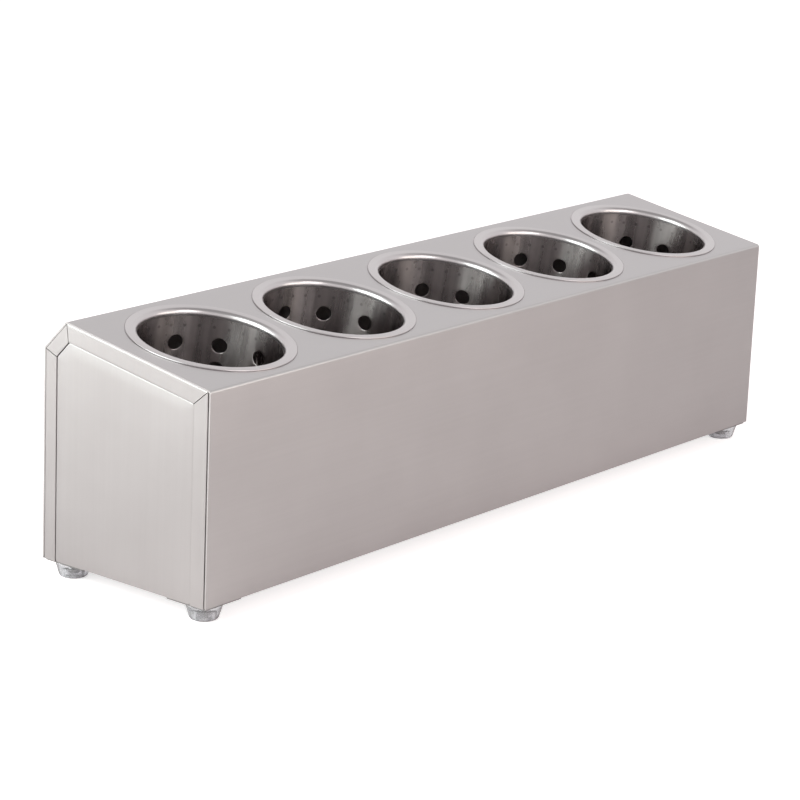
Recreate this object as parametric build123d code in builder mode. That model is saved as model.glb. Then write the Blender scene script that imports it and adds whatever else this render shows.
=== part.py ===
# Cutlery holder: a folded steel housing with a sloping top that carries five
# lift-out perforated cylinders, on four tapered feet.
# Millimetres. +X runs along the housing, -Y is the front, +Z is up.
# The origin is on the floor, under the middle of the housing.
from math import atan2, cos, radians, sin, tan
import os

from build123d import *

# Housing, built round its cylinders
top_slope = 9.35  # degrees, rising towards the back
rim_gap = 10.0  # between neighbouring rims
end_margin = 12.5  # from the last rim to the end of the housing
edge_margin = 7.5  # from the rims to the front and to the ridge
base_clearance = 11.8  # under the lowest edge of the cylinders, inside
back_bevel_depth = 19.7  # how far the back bevel cuts in from the back
back_bevel_drop = 20.6  # and down from the ridge
housing_sheet = 1.2
housing_bend = 2.0  # outside radius of the long bends
return_bend = 1.5  # outside radius of the bends along the bottom
return_width = 20.0  # the flanges turned in along the bottom
return_clearance = 1.0  # from the ends of the returns to the frames and nuts

# Cylinders
cylinder_count = 5
cup_radius = 48.5  # inside
cup_height = 137.0
cup_sheet = 0.8
rim_width = 8.5  # from the inside of a cylinder to the edge of its rim
lip_radius = 2.5  # of the rolled lip
throat_length = 4.0  # rim ring, from the top of the housing to its weld
base_height = 6.0
base_corner = 5.0
mouth_clearance = 0.8  # between the rolled lip and the hole in the top

# Perforations
hole_diameter = 12.0
holes_around = 10
row_pitch = 17.0
row_count = 6
upper_margin = 19.0  # from the weld of the rim to the first row
base_ring_radius = 28.0
base_ring_count = 6
cup_turns = (32.8, 45.3, 18.8, 22.1, 9.3)  # degrees, as each was dropped in
cup_reversed = (False, False, True, False, True)  # sleeve rolled other end up

# End frames and end panels
frame_sheet = 1.0
frame_width = 12.0  # face of the channel along the front and the top
frame_narrowing = 2.3  # less than that along the bevel and the back
frame_leg = 14.0  # outer leg, inside the housing
frame_inner_leg = 8.0
frame_bend = 0.6
frame_front_gap = 1.2  # open seam behind the front's raw edge
frame_setback = 0.2  # from the raw edges of the housing
mitre_gap = 0.5
panel_sheet = 1.0
panel_gap = 0.1
panel_bend = 3.0
panel_corner = 1.8
panel_flange = 8.0
panel_bottom_flange = 20.0
panel_flange_gap = 0.5  # between the bottom flange and each return

# Feet and their fasteners
foot_height = 10.8
foot_top_radius = 12.0
foot_bottom_radius = 9.4
foot_edge = 0.6
foot_bottom_edge = 2.2
foot_inset = 14.5  # from the end and from the front or back
foot_recess_radius = 5.6
foot_web = 4.0  # rubber between the recess and the plate
plate_side = 34.0
plate_sheet = 1.2
plate_setback = 1.6
plate_chamfer = 12.0
screw_diameter = 4.0
screw_clearance = 0.3
screw_head_radius = 3.8
screw_head_height = 2.6
screw_tail = 1.2
slot_width = 0.9
washer_radius = 4.8
washer_thickness = 0.8
nut_across_flats = 7.0
nut_height = 3.2
cut_margin = 5.0  # how far cutting solids run past what they cut

# Places worked out from the sizes above
slope = radians(top_slope)
rim_radius = cup_radius + rim_width
cup_outside = cup_radius + cup_sheet
cylinder_pitch = 2 * rim_radius + rim_gap
top_width = 2 * (rim_radius + edge_margin)
housing_length = (cylinder_count - 1) * cylinder_pitch + 2 * (rim_radius + end_margin)
housing_depth = top_width * cos(slope) + back_bevel_depth
middle_height = base_clearance + cup_height * cos(slope) + cup_outside * sin(slope)
front_height = middle_height - top_width / 2 * sin(slope)
housing_floor = foot_height + plate_sheet
front_y = -housing_depth / 2
back_y = housing_depth / 2
front_corner_z = housing_floor + front_height
ridge_y = back_y - back_bevel_depth
ridge_z = front_corner_z + (ridge_y - front_y) * tan(slope)
bevel_z = ridge_z - back_bevel_drop
end_x = housing_length / 2
mouth_radius = cup_radius + lip_radius + mouth_clearance
sleeve_length = cup_height - throat_length - base_height
cup_bottom = -cup_height  # heights on a cylinder's axis, from the top of the housing
sleeve_top = -throat_length
sleeve_bottom = cup_bottom + base_height
frame_inset = housing_sheet
inner_bend = housing_bend - housing_sheet
strip_inset = frame_inset + frame_width
panel_inset = strip_inset + panel_gap
foot_x = end_x - foot_inset
foot_y = back_y - foot_inset
foot_places = {
    "front_left": (-foot_x, -foot_y),
    "front_right": (foot_x, -foot_y),
    "back_left": (-foot_x, foot_y),
    "back_right": (foot_x, foot_y),
}
screw_radius = screw_diameter / 2
screw_hole = screw_radius + screw_clearance
recess_ceiling = foot_height - foot_web
head_top = recess_ceiling - washer_thickness
nut_corner = nut_across_flats / 2 / cos(radians(30))
return_notch = max(frame_leg + frame_setback, foot_inset + nut_corner) + return_clearance
below = housing_floor - cut_margin

top_plane = Plane(
    origin=(0, front_y + top_width / 2 * cos(slope), housing_floor + middle_height),
    x_dir=(1, 0, 0),
    z_dir=(0, -sin(slope), cos(slope)),
)


def save(piece, name):
    """Label one finished piece and write its file."""
    piece.part.label = name
    export_step(piece.part, f"parts/{name}.step")


def section_corners(inset, front_gap=0.0, back_gain=0.0):
    """The three upper corners of the section, moved in by inset, as (y, z).

    The front moves in by front_gap more, the bevel and the back by back_gain less.
    """
    bevel = atan2(back_bevel_drop, back_bevel_depth)
    back_inset = inset - back_gain
    front = front_y + front_gap + inset
    back = back_y - back_inset
    ridge = ridge_y + (inset / cos(slope) - back_inset / cos(bevel)) / (
        tan(slope) + tan(bevel)
    )

    def top_at(y):
        return front_corner_z + (y - front_y) * tan(slope) - inset / cos(slope)

    def bevel_at(y):
        return ridge_z - (y - ridge_y) * tan(bevel) - back_inset / cos(bevel)

    return (front, top_at(front)), (ridge, top_at(ridge)), (back, bevel_at(back))


def section_outline(inset, bend, low, low_bend=0.0, front_gap=0.0, back_gain=0.0):
    """The filled section, moved in by inset and ending level at the height low."""
    front_corner, ridge_corner, back_corner = section_corners(inset, front_gap, back_gain)
    with BuildSketch() as outline:
        with BuildLine():
            Polyline(
                (front_corner[0], low),
                front_corner,
                ridge_corner,
                back_corner,
                (back_corner[0], low),
                close=True,
            )
        make_face()
        fillet(outline.vertices().group_by(Axis.Y)[1:], radius=bend)
        if low_bend:
            fillet(outline.vertices().group_by(Axis.Y)[0], radius=low_bend)
    return outline.sketch


def cup_plane(index):
    """Top face of the housing at one cylinder, turned as that cylinder stands."""
    x = (index - (cylinder_count - 1) / 2) * cylinder_pitch
    turn = cup_turns[index % len(cup_turns)]
    return Plane(top_plane.location * Location((x, 0, 0), (0, 0, turn)))


def cup_profile_plane(index):
    """Plane through a cylinder's axis: x is the radius, y the height on the axis."""
    top = cup_plane(index)
    return Plane(origin=top.origin, x_dir=top.x_dir, z_dir=-top.y_dir)


os.makedirs("parts", exist_ok=True)

# Housing: one sheet bent round the front, the sloping top, the bevel and the
# back, with its long edges turned in underneath
with BuildPart() as body_shell:
    with BuildSketch(Plane.YZ):
        add(section_outline(0, housing_bend, housing_floor, return_bend))
        add(
            section_outline(
                housing_sheet,
                inner_bend,
                housing_floor + housing_sheet,
                return_bend - housing_sheet,
            ),
            mode=Mode.SUBTRACT,
        )
    extrude(amount=end_x, both=True)
    with BuildSketch(Plane.XY.offset(housing_floor - cut_margin)):
        Rectangle(housing_length + cut_margin, housing_depth - 2 * return_width)
        # The returns stop short of the ends, where the end frames and nuts are
        for side in (-1, 1):
            with Locations((side * end_x, 0)):
                Rectangle(2 * return_notch, housing_depth - 2 * housing_sheet)
    extrude(amount=2 * cut_margin, mode=Mode.SUBTRACT)
    with BuildSketch(top_plane):
        with GridLocations(cylinder_pitch, 1, cylinder_count, 1):
            Circle(mouth_radius)
    extrude(amount=-cut_margin, mode=Mode.SUBTRACT)
save(body_shell, "body_shell")

# End frame: a channel folded round the section and set just inside the raw
# edge of the housing, with its face notched at the corners into mitred strips
end_plane = Plane.YZ.offset(-end_x + frame_setback)
with BuildPart() as left_end_frame:
    for (outer_inset, outer_gain), (inner_inset, inner_gain), depth in (
        ((frame_inset, 0), (frame_inset + frame_sheet, 0), frame_leg),
        ((frame_inset, 0), (strip_inset, frame_narrowing), frame_sheet),
        (
            (strip_inset - frame_sheet, frame_narrowing),
            (strip_inset, frame_narrowing),
            frame_inner_leg,
        ),
    ):
        with BuildSketch(end_plane):
            add(
                section_outline(
                    outer_inset, inner_bend, below, 0, frame_front_gap, outer_gain
                )
            )
            add(
                section_outline(
                    inner_inset, inner_bend, below, 0, frame_front_gap, inner_gain
                ),
                mode=Mode.SUBTRACT,
            )
        extrude(amount=depth)
    face_edges = left_end_frame.faces().sort_by(Axis.X)[0].edges()
    fillet(face_edges.filter_by(lambda edge: edge.center().Z > housing_floor), radius=frame_bend)
    split(bisect_by=Plane.XY.offset(housing_floor), keep=Keep.TOP)
    for start_share, depth in ((-0.1, frame_sheet), (0.15, frame_inner_leg)):
        with BuildSketch(end_plane):
            for outer, inner in zip(
                section_corners(frame_inset, frame_front_gap),
                section_corners(strip_inset, frame_front_gap, frame_narrowing),
            ):
                mitre = Line(outer, inner, mode=Mode.PRIVATE)
                with BuildLine():
                    Line(mitre @ start_share, mitre @ 1.3)
                trace(line_width=mitre_gap)
        extrude(amount=depth, mode=Mode.SUBTRACT)
save(left_end_frame, "left_end_frame")

with BuildPart() as right_end_frame:
    mirror(left_end_frame.part, about=Plane.YZ)
save(right_end_frame, "right_end_frame")

# End panel: a shallow pan with soft edges, turned in all round and standing in
# the end frame, with a wider flange along the bottom
with BuildPart() as left_end_panel:
    with BuildSketch(end_plane):
        add(
            section_outline(
                panel_inset,
                panel_corner,
                housing_floor,
                0,
                frame_front_gap,
                frame_narrowing,
            )
        )
    extrude(amount=panel_flange)
    outer_face = left_end_panel.faces().sort_by(Axis.X)[0]
    fillet(outer_face.edges(), radius=panel_bend)
    inner_face = left_end_panel.faces().sort_by(Axis.X)[-1]
    offset(amount=-panel_sheet, openings=inner_face)
    with BuildSketch(Plane.XY.offset(housing_floor)):
        with Locations((-end_x + frame_setback + panel_flange - panel_sheet, 0)):
            Rectangle(
                panel_bottom_flange - panel_flange + panel_sheet,
                housing_depth - 2 * (return_width + panel_flange_gap),
                align=(Align.MIN, Align.CENTER),
            )
    extrude(amount=panel_sheet)
save(left_end_panel, "left_end_panel")

with BuildPart() as right_end_panel:
    mirror(left_end_panel.part, about=Plane.YZ)
save(right_end_panel, "right_end_panel")

# Corner plates under the returns, one for each foot
for corner, (x, y) in foot_places.items():
    x_side = 1 if x > 0 else -1
    y_side = 1 if y > 0 else -1
    with BuildPart() as plate:
        with BuildSketch(Plane.XY.offset(foot_height)) as outline:
            with Locations(
                (
                    x_side * (end_x - plate_setback - plate_side / 2),
                    y_side * (back_y - plate_setback - plate_side / 2),
                )
            ):
                Rectangle(plate_side, plate_side)
            inner_corner = outline.vertices().sort_by_distance((0, 0, foot_height))[0]
            chamfer(inner_corner, length=plate_chamfer)
            with Locations((x, y)):
                Circle(screw_hole, mode=Mode.SUBTRACT)
        extrude(amount=plate_sheet)
    save(plate, f"foot_plate_{corner}")

# Feet: tapered, with a recess below for the screw's head
for corner, (x, y) in foot_places.items():
    with BuildPart() as foot:
        with BuildSketch(Plane(origin=(x, y, 0), x_dir=(1, 0, 0), z_dir=(0, -1, 0))):
            with BuildLine():
                Polyline(
                    (foot_recess_radius, 0),
                    (foot_bottom_radius, 0),
                    (foot_top_radius, foot_height),
                    (screw_hole, foot_height),
                    (screw_hole, recess_ceiling),
                    (foot_recess_radius, recess_ceiling),
                    close=True,
                )
            make_face()
        revolve(axis=Axis((x, y, 0), (0, 0, 1)))
        outer_edges = foot.edges().filter_by(GeomType.CIRCLE).sort_by(SortBy.RADIUS)[-2:]
    fillet(outer_edges[-1], radius=foot_edge)
    fillet(outer_edges[0], radius=foot_bottom_edge)
    save(foot, f"foot_{corner}")

# Foot fasteners, each kind in one node: a screw and a washer from below, a nut
# above the plate
with BuildPart() as foot_washers:
    with BuildSketch(Plane.XY.offset(head_top)):
        with Locations(*foot_places.values()):
            Circle(washer_radius)
            Circle(screw_hole, mode=Mode.SUBTRACT)
    extrude(amount=washer_thickness)
save(foot_washers, "foot_washers")

with BuildPart() as foot_screws:
    with BuildSketch(Plane.XY.offset(head_top - screw_head_height)):
        with Locations(*foot_places.values()):
            Circle(screw_head_radius)
    extrude(amount=screw_head_height)
    fillet(foot_screws.edges().group_by(Axis.Z)[0], radius=screw_head_height / 2)
    with BuildSketch(Plane.XY.offset(head_top)):
        with Locations(*foot_places.values()):
            Circle(screw_radius)
    extrude(amount=housing_floor + nut_height + screw_tail - head_top)
    with BuildSketch(Plane.XY.offset(head_top - screw_head_height)):
        with Locations(*foot_places.values()):
            Rectangle(screw_head_radius, slot_width)
            Rectangle(slot_width, screw_head_radius)
    extrude(amount=screw_head_height / 2, mode=Mode.SUBTRACT)
save(foot_screws, "foot_screws")

with BuildPart() as foot_nuts:
    with BuildSketch(Plane.XY.offset(housing_floor)):
        with Locations(*foot_places.values()):
            RegularPolygon(nut_across_flats / 2, 6, major_radius=False)
            Circle(screw_radius, mode=Mode.SUBTRACT)
    extrude(amount=nut_height)
save(foot_nuts, "foot_nuts")

# Cylinders: a rim ring, a perforated sleeve and a base pan, butt-welded. Each
# hangs by its rim, square to the sloping top.
for index in range(cylinder_count):
    number = index + 1
    top = cup_plane(index)
    cup_axis = Axis(top.origin, top.z_dir)

    # Rim ring: a flat flange on the housing, rolled over into the throat
    with BuildPart() as rim:
        with BuildSketch(cup_profile_plane(index)):
            with BuildLine():
                Polyline(
                    (cup_radius + lip_radius, cup_sheet),
                    (rim_radius, cup_sheet),
                    (rim_radius, 0),
                    (cup_radius + lip_radius, 0),
                )
                RadiusArc(
                    (cup_radius + lip_radius, 0),
                    (cup_outside, cup_sheet - lip_radius),
                    -(lip_radius - cup_sheet),
                )
                Polyline(
                    (cup_outside, cup_sheet - lip_radius),
                    (cup_outside, sleeve_top),
                    (cup_radius, sleeve_top),
                    (cup_radius, cup_sheet - lip_radius),
                )
                RadiusArc(
                    (cup_radius, cup_sheet - lip_radius),
                    (cup_radius + lip_radius, cup_sheet),
                    lip_radius,
                )
            make_face()
        revolve(axis=cup_axis)
    save(rim, f"cylinder_{number}_rim")

    # Sleeve: a rolled tube punched with rows of round holes
    margin = upper_margin
    if cup_reversed[index % len(cup_reversed)]:
        margin = sleeve_length - upper_margin - (row_count - 1) * row_pitch
    with BuildPart(top) as sleeve:
        with BuildSketch(top.offset(sleeve_top)):
            Circle(cup_outside)
            Circle(cup_radius, mode=Mode.SUBTRACT)
        extrude(amount=-sleeve_length)
        rows = [(0, 0, sleeve_top - margin - row * row_pitch) for row in range(row_count)]
        with Locations(*rows):
            with PolarLocations(cup_radius, holes_around):
                Cylinder(
                    hole_diameter / 2, 4 * cup_sheet, rotation=(0, 90, 0), mode=Mode.SUBTRACT
                )
    save(sleeve, f"cylinder_{number}_sleeve")

    # Base pan: a dished disc with drain holes
    with BuildPart() as base:
        with BuildSketch(cup_profile_plane(index)):
            with BuildLine():
                Polyline(
                    (cup_radius, sleeve_bottom),
                    (cup_outside, sleeve_bottom),
                    (cup_outside, cup_bottom + base_corner),
                )
                RadiusArc(
                    (cup_outside, cup_bottom + base_corner),
                    (cup_outside - base_corner, cup_bottom),
                    base_corner,
                )
                Polyline(
                    (cup_outside - base_corner, cup_bottom),
                    (0, cup_bottom),
                    (0, cup_bottom + cup_sheet),
                    (cup_outside - base_corner, cup_bottom + cup_sheet),
                )
                RadiusArc(
                    (cup_outside - base_corner, cup_bottom + cup_sheet),
                    (cup_radius, cup_bottom + base_corner),
                    -(base_corner - cup_sheet),
                )
                Line((cup_radius, cup_bottom + base_corner), (cup_radius, sleeve_bottom))
            make_face()
        revolve(axis=cup_axis)
        with BuildSketch(top.offset(cup_bottom)):
            Circle(hole_diameter / 2)
            with PolarLocations(base_ring_radius, base_ring_count):
                Circle(hole_diameter / 2)
        extrude(amount=cup_sheet, mode=Mode.SUBTRACT)
    save(base, f"cylinder_{number}_base")
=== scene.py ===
# %% [markdown]
# # A cutlery holder in folded steel
#
# On a self-service counter this box stands with five perforated cylinders hung
# in its sloping top, one for each kind of knife, fork or spoon. Everything on it
# is stainless sheet: some of it folded on a press brake, some rolled, some
# punched. So most of this lesson is about sheet metal: draw the flat blank,
# then fold it with a function.
#
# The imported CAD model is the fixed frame. Every piece made here sits where the
# CAD says, rides on one of its bodies, and replaces the plain solid there.

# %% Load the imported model
import math

import bpy
import numpy as np
from mathutils import Matrix, Vector


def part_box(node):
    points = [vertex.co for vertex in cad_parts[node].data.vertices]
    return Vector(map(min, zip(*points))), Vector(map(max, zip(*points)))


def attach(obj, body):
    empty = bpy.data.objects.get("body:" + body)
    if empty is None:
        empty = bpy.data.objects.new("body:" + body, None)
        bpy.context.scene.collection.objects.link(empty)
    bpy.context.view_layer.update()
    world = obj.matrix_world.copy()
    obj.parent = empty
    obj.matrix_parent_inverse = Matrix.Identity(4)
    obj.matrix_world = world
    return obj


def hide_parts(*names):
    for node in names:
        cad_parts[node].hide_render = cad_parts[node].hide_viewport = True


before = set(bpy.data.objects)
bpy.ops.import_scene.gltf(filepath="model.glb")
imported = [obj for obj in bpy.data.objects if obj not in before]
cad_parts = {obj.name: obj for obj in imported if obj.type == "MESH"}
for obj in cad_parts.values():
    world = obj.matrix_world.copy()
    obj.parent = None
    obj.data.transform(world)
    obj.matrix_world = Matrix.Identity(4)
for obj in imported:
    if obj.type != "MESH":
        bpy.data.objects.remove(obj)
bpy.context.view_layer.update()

# %% [markdown]
# ## Sizes
#
# Blender works in metres, the workshop in millimetres. The sizes that the pieces
# share are written once, in millimetres times MM, and the rest is worked out
# from them. +X runs along the housing, -Y is its front, and the floor is z = 0.

# %% Sizes that the pieces share
MM = 0.001
SLOPE = math.radians(9.35)  # the top rises towards the back

CUP_RADIUS = 48.5 * MM  # inside a cylinder
CUP_SHEET = 0.8 * MM
CUP_HEIGHT = 137 * MM
RIM_RADIUS = 57 * MM
RIM_GAP = 10 * MM
EDGE_MARGIN = 7.5 * MM  # from the rims to the front and to the ridge
BASE_CLEARANCE = 11.8 * MM  # under the lowest edge of the cylinders
CUP_PITCH = 2 * RIM_RADIUS + RIM_GAP
CUP_COUNT = 5

HOUSING_SHEET = 1.2 * MM
HOUSING_BEND = 2 * MM  # outside radius
RETURN_BEND = 0.8 * MM
RETURN_WIDTH = 20 * MM  # the flanges turned in along the bottom
HOUSING_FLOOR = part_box("body_shell")[0].z
END_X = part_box("body_shell")[1].x
BACK_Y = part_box("body_shell")[1].y
FRONT_Y = -BACK_Y
TOP_WIDTH = 2 * (RIM_RADIUS + EDGE_MARGIN)
BEVEL_DROP = 20.6 * MM

MIDDLE_Y = FRONT_Y + TOP_WIDTH / 2 * math.cos(SLOPE)
MIDDLE_Z = (
    HOUSING_FLOOR
    + BASE_CLEARANCE
    + CUP_HEIGHT * math.cos(SLOPE)
    + (CUP_RADIUS + CUP_SHEET) * math.sin(SLOPE)
)
FRONT_Z = MIDDLE_Z - TOP_WIDTH / 2 * math.sin(SLOPE)
RIDGE_Y = FRONT_Y + TOP_WIDTH * math.cos(SLOPE)
RIDGE_Z = FRONT_Z + TOP_WIDTH * math.sin(SLOPE)
print("front corner at", round(FRONT_Z / MM, 2), "mm, ridge at", round(RIDGE_Z / MM, 2), "mm")

# %% [markdown]
# ## The camera
#
# The photograph was taken with a long lens from the left and a little above. A
# long lens keeps the far end nearly as tall as the near one. The camera's place
# was found beforehand by fitting the eight corners of the housing and the five
# mouths, so here it is only placed, aimed, and rolled by two degrees.

# %% Camera
CAMERA_PLACE = (-1.64225, -1.27404, 0.65162)
CAMERA_TURN, CAMERA_DIP, CAMERA_ROLL = -51.599, 15.518, 2.384  # degrees

camera_data = bpy.data.cameras.new("camera")
camera_data.lens = 133.74
camera_data.sensor_width = 36
camera_data.clip_end = 50
camera = bpy.data.objects.new("camera", camera_data)
camera.matrix_world = (
    Matrix.Translation(CAMERA_PLACE)
    @ Matrix.Rotation(math.radians(CAMERA_TURN), 4, "Z")
    @ Matrix.Rotation(math.radians(90 - CAMERA_DIP), 4, "X")
    @ Matrix.Rotation(math.radians(CAMERA_ROLL), 4, "Z")
)
bpy.context.scene.collection.objects.link(camera)
bpy.context.scene.camera = camera
print("camera is", round(camera.location.length, 3), "m from the origin")

# %% [markdown]
# ## Grids of points
#
# Every surface below is a function of two numbers. We lay a grid of those two
# numbers out flat, as the shop lays out a blank, and number its points row by
# row. A face is then four neighbouring numbers. Going round them anticlockwise
# on the blank makes the face point towards the reader, which later decides
# which side is the outside.

# %% Flat patches
def grid_quads(rows, columns):
    """The four corner numbers of each face of a grid of points."""
    row, column = np.mgrid[: rows - 1, : columns - 1]
    first = (row * columns + column).ravel()
    return np.stack([first, first + 1, first + columns + 1, first + columns], axis=1)


def flat_patch(places):
    """A patch from places on the blank, as rows by columns by two numbers.

    Each point gets a third number, 0 here: how far the sheet's two skins have
    rounded towards each other there.
    """
    rows, columns = places.shape[:2]
    points = np.concatenate([places, np.zeros((rows, columns, 1))], axis=2)
    return points.reshape(-1, 3), grid_quads(rows, columns)


def grid_patch(across, up):
    """A rectangular patch: point (row, column) is at (across[column], up[row])."""
    return flat_patch(np.stack(np.meshgrid(across, up), axis=2))


def join_patches(patches):
    """Several patches as one: points stacked, face numbers moved on to match."""
    starts = np.cumsum([0] + [len(points) for points, quads in patches[:-1]])
    points = np.concatenate([points for points, quads in patches])
    quads = np.concatenate([quads + start for (_, quads), start in zip(patches, starts)])
    return points, quads


def repeat_patch(patch, offsets):
    """The patch once at each offset (du, dv)."""
    points, quads = patch
    moves = np.column_stack([offsets, np.zeros(len(offsets))])
    moved = (points[None] + moves[:, None]).reshape(-1, 3)
    numbers = quads[None] + (np.arange(len(moves)) * len(points))[:, None, None]
    return moved, numbers.reshape(-1, 4)


print("a 3 by 4 grid has", len(grid_quads(3, 4)), "faces")

# %% [markdown]
# ## A round hole in a blank
#
# A punched hole needs a ring of points that bridges a round edge to a square
# cell of the grid. Booleans could cut it, but they leave long thin faces that
# spoil the shading of polished steel. Here each point of the cell's border is
# joined to a point of the circle, and the rings between are blends of the two.
# The last few rings stay round and roll over the edge, as a punch leaves it.

# %% Cells with a hole
LOWER_LEFT = math.radians(-135)  # heading from a cell's middle to its border's start
ROLL_ANGLES = np.radians([30, 55, 75, 90])  # round the rolled edge of a hole


def cell_border(left_right, bottom_top):
    """A rectangle's border, anticlockwise from its lower left corner, closed.

    The two arrays are the grid lines that the border has to meet.
    """
    u, v = np.asarray(left_right), np.asarray(bottom_top)
    sides = [
        np.stack([u[:-1], np.full(len(u) - 1, v[0])], axis=1),
        np.stack([np.full(len(v) - 1, u[-1]), v[:-1]], axis=1),
        np.stack([u[:0:-1], np.full(len(u) - 1, v[-1])], axis=1),
        np.stack([np.full(len(v), u[0]), v[::-1]], axis=1),
    ]
    return np.concatenate(sides)


def hole_cell(border, centre, radius, roll=0.0, depth=0.0, bridge=(0, 0.4, 0.75, 1), turn=0.0):
    """A cell with a round hole: rings running from its border in to the hole.

    A bridge ring is (1 - w) times the border plus w times the circle. A roll
    ring at angle a has the radius: hole + roll * (1 - sin a), and both skins
    have closed in by depth * (1 - cos a), a quarter of an ellipse.
    """
    around = LOWER_LEFT + turn + np.linspace(0, math.tau, len(border))
    circle = np.stack([np.cos(around), np.sin(around)], axis=1)
    weights = np.array(bridge)[:, None, None]
    blended = (1 - weights) * border + weights * (centre + (radius + roll) * circle)
    rings = np.concatenate([blended, np.zeros(blended.shape[:2] + (1,))], axis=2)
    if roll:
        angle = ROLL_ANGLES[:, None, None]
        edge = centre + (radius + roll * (1 - np.sin(angle))) * circle
        closing = np.broadcast_to(depth * (1 - np.cos(angle)), edge.shape[:2] + (1,))
        rings = np.concatenate([rings, np.concatenate([edge, closing], axis=2)])
    return rings.reshape(-1, 3), grid_quads(*rings.shape[:2])


example = hole_cell(cell_border([-1, 0, 1], [-1, 0, 1]), np.zeros(2), 0.5)
print("the example cell has", len(example[1]), "faces round its hole")

# %% [markdown]
# ## From blank to sheet
#
# A sheet has two skins and a cut edge all round. The fold function below takes
# the flat blank and a place function, which says where a point of the blank ends
# up in space at a given depth under the outer skin. It places the blank twice,
# turns the second skin over, and walls up every edge that only one face uses.
# The modifier Solidify could do the same, but this way the inner skin of a bend
# is exact, and the cut edges can carry a mask of their own for the material.

# %% Fold a blank into a sheet
def weld(points, quads, tolerance=1e-6):
    """One number for points that lie together. Returns kept rows and new quads."""
    keys = np.round(points / tolerance).astype(np.int64)
    _, kept, renumber = np.unique(keys, axis=0, return_index=True, return_inverse=True)
    return kept, renumber.reshape(-1)[quads]


def open_edges(quads):
    """The edges that only one face uses, in that face's direction."""
    edges = np.stack([quads.ravel(), np.roll(quads, -1, axis=1).ravel()], axis=1)
    _, first, uses = np.unique(
        np.sort(edges, axis=1), axis=0, return_index=True, return_counts=True
    )
    return edges[first[uses == 1]]


def fold(parts, thickness):
    """A sheet folded from (blank, place) parts: points, quads, flat corners, mask.

    Outer skin: place(blank, its own rounding). Inner skin: the same at thickness
    less the rounding. The mask is 1 on the cut edges and 0 on the skins.
    """
    flat, quads = join_patches([blank for blank, place in parts])
    outer = np.concatenate([place(blank[0][:, :2], blank[0][:, 2]) for blank, place in parts])
    inner = np.concatenate(
        [place(blank[0][:, :2], thickness - blank[0][:, 2]) for blank, place in parts]
    )
    corners = flat[quads][:, :, :2]
    kept, quads = weld(outer, quads)
    flat, count = flat[kept], len(kept)
    edges = open_edges(quads)
    start, end = edges.T
    walls = np.stack([end, start, start + count, end + count], axis=1)
    all_quads = np.concatenate([quads, quads[:, ::-1] + count, walls])
    all_corners = np.concatenate([corners, corners[:, ::-1], flat[walls % count][:, :, :2]])
    mask = np.concatenate([np.zeros(2 * len(quads)), np.ones(len(walls))])
    return np.concatenate([outer[kept], inner[kept]]), all_quads, all_corners, mask


def merge(*sheets):
    """Several folded sheets as the arrays of one piece."""
    points, quads = join_patches([sheet[:2] for sheet in sheets])
    corners, mask = (np.concatenate([sheet[i] for sheet in sheets]) for i in (2, 3))
    return points, quads, corners, mask


def mirrored(points, quads, corners, mask):
    """The same sheet at the other end: X changes sign, so faces turn round too."""
    return points * (-1, 1, 1), quads[:, ::-1], corners[:, ::-1], mask


square = grid_patch([0, 1], [0, 1])
slab = fold([(square, lambda flat, depth: np.column_stack([flat, -depth]))], 0.1)
print("a square blank becomes a sheet with", len(slab[1]), "faces")


# %% Make a piece of a sheet
def new_piece(name, sheet, material, body, node):
    """A mesh object from a sheet's arrays, in place of one CAD node, on its body.

    The flat pattern, if it has one, becomes its UV map, the mask an attribute.
    """
    points, quads, corners, mask = sheet
    mesh = bpy.data.meshes.new(name)
    mesh.from_pydata(points.tolist(), [], quads.tolist())
    if corners is not None:
        layer = mesh.uv_layers.new(name="blank")
        layer.data.foreach_set("uv", corners.astype(np.float32).ravel())
    cut = mesh.attributes.new("cut_edge", "FLOAT", "FACE")
    cut.data.foreach_set("value", mask.astype(np.float32))
    mesh.shade_smooth()
    mesh.set_sharp_from_angle(angle=math.radians(30))
    mesh.materials.append(material)
    piece = bpy.data.objects.new(name, mesh)
    bpy.context.scene.collection.objects.link(piece)
    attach(piece, body)
    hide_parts(node)
    print(f"{name}: {len(quads)} faces, on {body}")


# %% [markdown]
# ## Bends
#
# A press brake folds the housing's blank three times above and twice underneath.
# Seen from the end it is a path of straight runs and arcs. For any length along
# the path we want the place and the heading there. On an arc the chord from its
# start has a closed form: its length is the arc's length times sin(x)/x, where x
# is half the angle turned so far. numpy's sinc gives that and is 1 on a straight
# run, so one formula serves both.

# %% A path with rounded corners
def bent_path(corners, radius):
    """A path through the corners, each rounded to the radius, or to its own.

    Returns the lengths at which its runs begin and end, and a function that
    gives place and heading at any lengths.
    """
    corners = np.asarray(corners, float)
    legs = np.diff(corners, axis=0)
    heading = np.unwrap(np.arctan2(legs[:, 1], legs[:, 0]))
    turn = np.diff(heading)
    cut = radius * np.tan(np.abs(turn) / 2)
    run = np.zeros(2 * len(legs) - 1)
    run[0::2] = np.linalg.norm(legs, axis=1)
    run[0:-1:2] -= cut
    run[2::2] -= cut
    run[1::2] = radius * np.abs(turn)
    curve = np.zeros_like(run)
    curve[1::2] = np.sign(turn) / radius
    begin = np.repeat(heading, 2)[:-1]

    def chord(length, bend, start):
        half = bend * length / 2
        reach = length * np.sinc(half / math.pi)
        return np.stack([reach * np.cos(start + half), reach * np.sin(start + half)], axis=-1)

    marks = np.concatenate([[0], np.cumsum(run)])
    travelled = np.cumsum(chord(run, curve, begin), axis=0)
    starts = corners[0] + np.concatenate([[[0, 0]], travelled])

    def at(length):
        index = np.clip(np.searchsorted(marks, length, side="right") - 1, 0, len(run) - 1)
        done = length - marks[index]
        place = starts[index] + chord(done, curve[index], begin[index])
        return place, begin[index] + curve[index] * done

    return marks, at


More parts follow.
